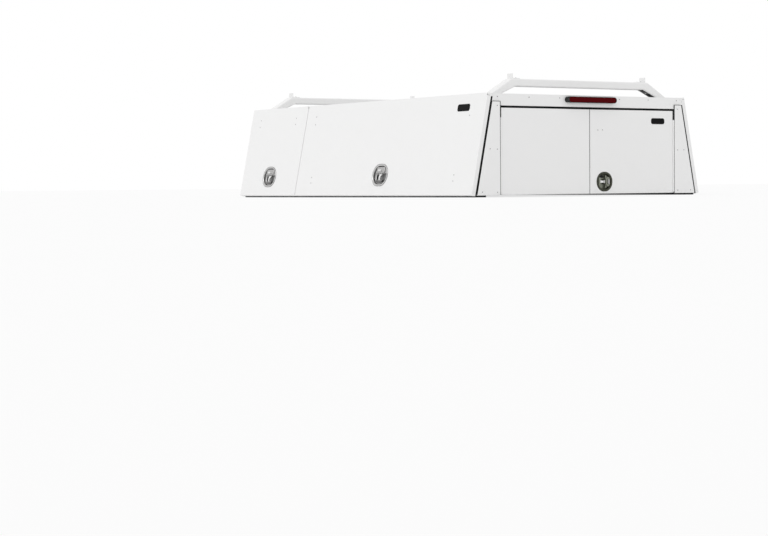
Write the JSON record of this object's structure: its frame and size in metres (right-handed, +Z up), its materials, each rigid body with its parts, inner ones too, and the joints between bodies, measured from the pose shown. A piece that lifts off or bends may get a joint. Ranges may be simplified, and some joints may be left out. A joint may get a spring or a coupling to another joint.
{
  "type": "pickup truck canopy",
  "caption": "Hollow white sheet-metal canopy for a pickup bed, with leaning side doors hinged along the roof, a pair of rear doors, a brake light and two low roof racks.",
  "frame": {"origin": "middle of the footprint, on the underside of the base seal", "axes": "+X to the canopy's right, +Y towards the cab, +Z up"},
  "size_m": [1.6658, 2.569, 0.682],
  "materials": {
    "white_paint": "satin",
    "rack_paint": "satin",
    "seal_rubber": "matte",
    "stainless": "polished",
    "lamp_black": "gloss",
    "lamp_red": "gloss"
  },
  "bodies": {
    "canopy_body": {"roof_sheet": "white_paint", "roof_bows": "white_paint", "front_wall": "white_paint", "base_rail_front": "white_paint", "base_seal": "seal_rubber", "rear_header": "white_paint", "rear_door_seal": "seal_rubber", "brake_light_housing": "lamp_black", "brake_light_lens": "lamp_red", "rack_rear": "rack_paint", "rack_front": "rack_paint", "ladder_stops_rear": "rack_paint", "ladder_stops_front": "rack_paint", "roof_rail_left": "white_paint", "base_rail_left": "white_paint", "centre_post_left": "white_paint", "rear_post_left": "white_paint", "post_cover_left": "white_paint", "side_seal_left": "seal_rubber", "rear_hinge_left_fixed_leaf": "white_paint", "roof_rail_right": "white_paint", "base_rail_right": "white_paint", "centre_post_right": "white_paint", "rear_post_right": "white_paint", "post_cover_right": "white_paint", "side_seal_right": "seal_rubber", "rear_hinge_right_fixed_leaf": "white_paint"},
    "rear_side_door_left": {"rear_side_door_left_skin": "white_paint", "rear_side_door_left_frame": "white_paint", "rear_side_door_left_lock": "stainless"},
    "rear_side_door_left_grip": {"rear_side_door_left_grip": "stainless"},
    "rear_side_door_right": {"rear_side_door_right_skin": "white_paint", "rear_side_door_right_frame": "white_paint", "rear_side_door_right_lock": "stainless"},
    "rear_side_door_right_grip": {"rear_side_door_right_grip": "stainless"},
    "front_side_door_left": {"front_side_door_left_skin": "white_paint", "front_side_door_left_frame": "white_paint", "front_side_door_left_lock": "stainless"},
    "front_side_door_left_grip": {"front_side_door_left_grip": "stainless"},
    "front_side_door_right": {"front_side_door_right_skin": "white_paint", "front_side_door_right_frame": "white_paint", "front_side_door_right_lock": "stainless"},
    "front_side_door_right_grip": {"front_side_door_right_grip": "stainless"},
    "rear_door_left": {"rear_door_left_skin": "white_paint", "rear_door_left_frame": "white_paint", "rear_door_left_hinge_leaf": "white_paint"},
    "rear_door_right": {"rear_door_right_skin": "white_paint", "rear_door_right_frame": "white_paint", "rear_door_right_hinge_leaf": "white_paint", "rear_door_right_lock": "stainless"},
    "rear_door_right_grip": {"rear_door_right_grip": "stainless"}
  },
  "joints": [
    {"name": "rear_side_door_left_hinge", "type": "hinge", "parent": "canopy_body", "child": "rear_side_door_left", "pos_m": [-0.71075, -0.33425, 0.56172], "axis": [0, 1, 0], "range_deg": [0, 90]},
    {"name": "rear_side_door_left_grip_fold", "type": "hinge", "parent": "rear_side_door_left", "child": "rear_side_door_left_grip", "pos_m": [-0.79997, -0.33425, 0.1323], "axis": [0, 1, 0], "range_deg": [0, 85]},
    {"name": "rear_side_door_right_hinge", "type": "hinge", "parent": "canopy_body", "child": "rear_side_door_right", "pos_m": [0.71075, -0.33425, 0.56172], "axis": [0, -1, 0], "range_deg": [0, 90]},
    {"name": "rear_side_door_right_grip_fold", "type": "hinge", "parent": "rear_side_door_right", "child": "rear_side_door_right_grip", "pos_m": [0.79997, -0.33425, 0.1323], "axis": [0, -1, 0], "range_deg": [0, 85]},
    {"name": "front_side_door_left_hinge", "type": "hinge", "parent": "canopy_body", "child": "front_side_door_left", "pos_m": [-0.71075, 0.94075, 0.56172], "axis": [0, 1, 0], "range_deg": [0, 90]},
    {"name": "front_side_door_left_grip_fold", "type": "hinge", "parent": "front_side_door_left", "child": "front_side_door_left_grip", "pos_m": [-0.79997, 0.94075, 0.1323], "axis": [0, 1, 0], "range_deg": [0, 85]},
    {"name": "front_side_door_right_hinge", "type": "hinge", "parent": "canopy_body", "child": "front_side_door_right", "pos_m": [0.71075, 0.94075, 0.56172], "axis": [0, -1, 0], "range_deg": [0, 90]},
    {"name": "front_side_door_right_grip_fold", "type": "hinge", "parent": "front_side_door_right", "child": "front_side_door_right_grip", "pos_m": [0.79997, 0.94075, 0.1323], "axis": [0, -1, 0], "range_deg": [0, 85]},
    {"name": "rear_door_left_hinge", "type": "hinge", "parent": "canopy_body", "child": "rear_door_left", "pos_m": [-0.63225, -1.2625, 0.25], "axis": [0, 0, -1], "range_deg": [0, 110]},
    {"name": "rear_door_right_hinge", "type": "hinge", "parent": "canopy_body", "child": "rear_door_right", "pos_m": [0.63225, -1.2625, 0.25], "axis": [0, 0, 1], "range_deg": [0, 110]},
    {"name": "rear_door_right_grip_fold", "type": "hinge", "parent": "rear_door_right", "child": "rear_door_right_grip", "pos_m": [0.11, -1.252, 0.08], "axis": [0, 0, 1], "range_deg": [0, 85]}
  ]
}
